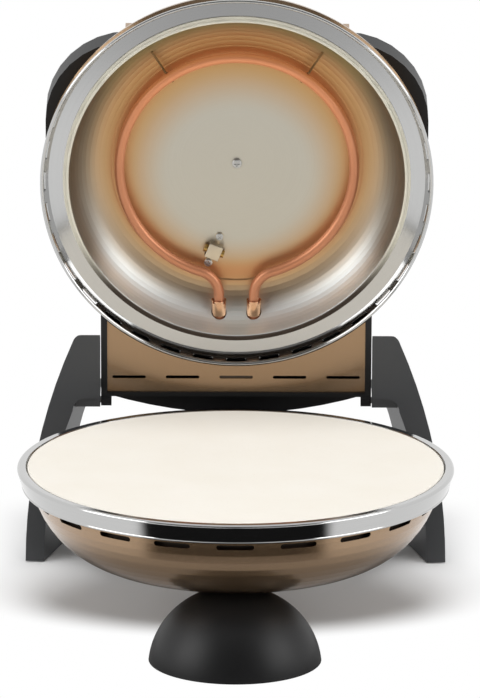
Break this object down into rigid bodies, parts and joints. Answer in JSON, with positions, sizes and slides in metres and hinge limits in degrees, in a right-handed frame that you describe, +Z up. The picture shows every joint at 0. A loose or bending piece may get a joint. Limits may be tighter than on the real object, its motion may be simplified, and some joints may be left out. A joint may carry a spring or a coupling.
{
  "type": "electric pizza maker",
  "caption": "Round countertop cooker: hinged domed lid with a bent tube heater over a flat baking stone in a slotted bowl, on a half-dome front foot and two rear legs.",
  "frame": {"origin": "on the counter, under the middle of the object's bounding box with its lid open; the bowl's axis is 42.2 mm in front of it", "axes": "+Z up out of the baking stone, -Y towards the front, +Y towards the hinge and the cord's gland, +X to the right as seen from the front"},
  "size_m": [0.326, 0.4104, 0.4521],
  "materials": {
    "chrome_ring": "polished, faint circular brushing",
    "fired_clay": "unglazed fired clay, matt",
    "bronze_paint": "metallic light bronze paint, satin gloss",
    "bright_aluminium": "bright drawn sheet, heat tinted near the element",
    "heater_sheath": "oxidised steel sheath",
    "heater_copper": "warm copper-toned sheath, satin",
    "plated_steel": "zinc plated",
    "white_ceramic": "glazed ceramic",
    "black_moulding": "fine spark-eroded grain, satin",
    "black_rubber": "matt",
    "brass_fitting": "drawn brass",
    "amber_lens": "clear amber lens"
  },
  "bodies": {
    "base": {"base_ring": "chrome_ring", "baking_stone": "fired_clay", "bowl": "bronze_paint", "inner_pan": "bright_aluminium", "lower_element": "heater_sheath", "lower_clips": "plated_steel", "pan_bushes": "white_ceramic", "front_foot": "black_moulding", "leg_left": "black_moulding", "leg_right": "black_moulding", "foot_pads": "black_rubber", "hinge_pins": "plated_steel", "rear_bracket": "plated_steel", "terminal_cover": "black_moulding", "terminal_block": "white_ceramic", "cord_gland": "black_rubber", "bracket_screws": "plated_steel", "foot_screws": "plated_steel"},
    "lid": {"lid_ring": "chrome_ring", "lid_shell": "bronze_paint", "lid_dish": "bright_aluminium", "upper_element": "heater_copper", "element_clips": "plated_steel", "element_ferrules": "plated_steel", "limiter_bulb": "brass_fitting", "limiter_clamp": "plated_steel", "lid_spacer": "plated_steel", "dish_screws": "plated_steel", "lid_housing": "black_moulding", "underside_panel": "bronze_paint", "top_cover": "bronze_paint", "cover_screws": "plated_steel", "thermostat": "plated_steel", "lid_terminals": "white_ceramic", "pilot_lamp": "amber_lens"},
    "knob": {"knob_shaft": "plated_steel", "control_knob": "black_moulding"}
  },
  "joints": [
    {"name": "lid_hinge", "type": "hinge", "parent": "base", "child": "lid", "pos_m": [0, 0.1358, 0.1275], "axis": [1, 0, 0], "range_deg": [0, 82]},
    {"name": "knob_turn", "type": "hinge", "parent": "lid", "child": "knob", "pos_m": [0, 0.18836, 0.18538], "axis": [0, 0.9903, 0.1392], "range_deg": [-270, 0]}
  ]
}
